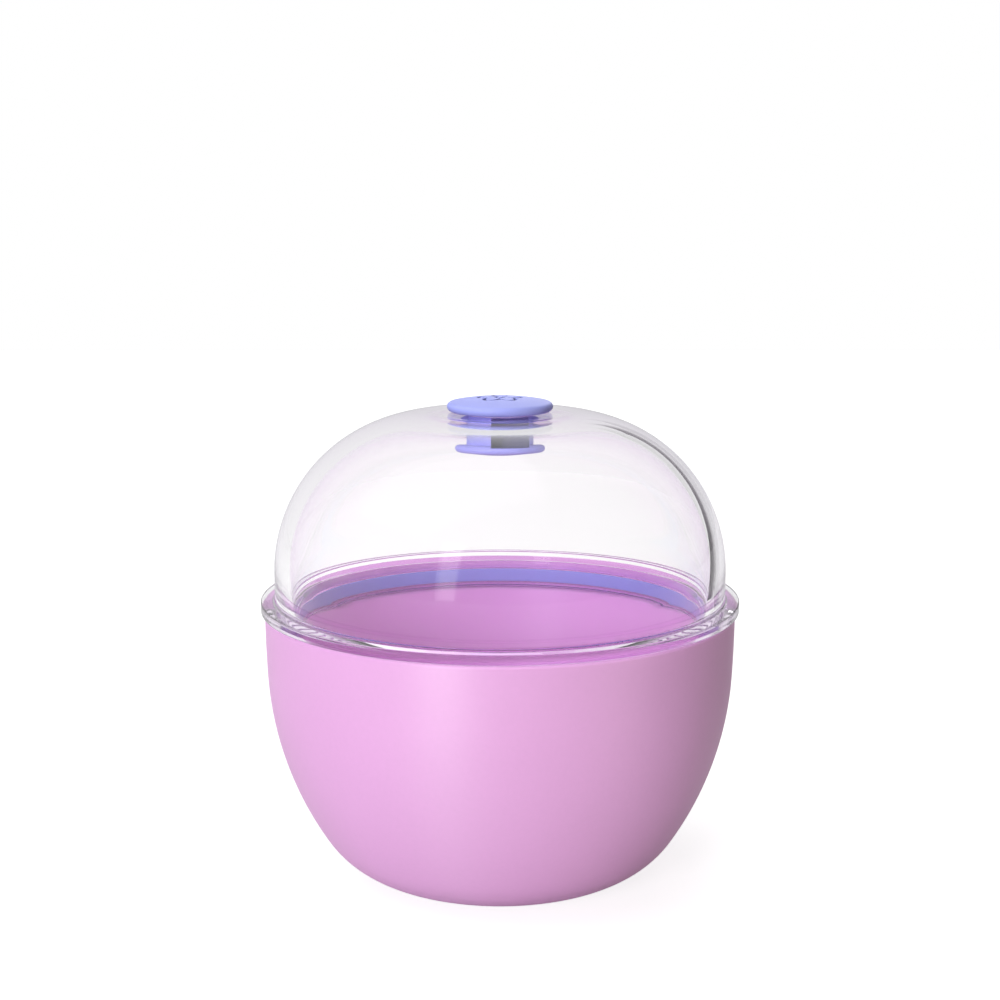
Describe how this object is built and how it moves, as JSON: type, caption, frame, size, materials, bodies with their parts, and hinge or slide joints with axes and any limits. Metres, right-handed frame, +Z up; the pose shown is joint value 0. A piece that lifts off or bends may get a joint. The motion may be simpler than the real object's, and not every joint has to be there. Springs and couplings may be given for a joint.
{
  "type": "lidded dappen dish",
  "caption": "Round moulded dish with a clear domed push-fit lid, a sealing ring in the lid's skirt, and a soft pull-up vent plug in the dome's top.",
  "frame": {"origin": "centre of the foot, on the surface the dish stands on", "axes": "+Z up along the dish's axis; -Y is the side the vent notch faces"},
  "size_m": [0.072, 0.072, 0.0728],
  "materials": {
    "bowl": "satin moulded pink plastic with a fine grain",
    "dome": "polished clear acrylic",
    "gasket": "matt lavender silicone",
    "plug": "matt lavender silicone"
  },
  "bodies": {
    "bowl": {"bowl": "bowl"},
    "lid": {"dome_lid": "dome", "lid_gasket": "gasket"},
    "plug": {"vent_plug": "plug"}
  },
  "joints": [
    {"name": "lid_lift", "type": "slide", "parent": "bowl", "child": "lid", "axis": [0, 0, 1], "range_m": [0, 0.05]},
    {"name": "plug_lift", "type": "slide", "parent": "lid", "child": "plug", "axis": [0, 0, 1], "range_m": [0, 0.0016]}
  ]
}
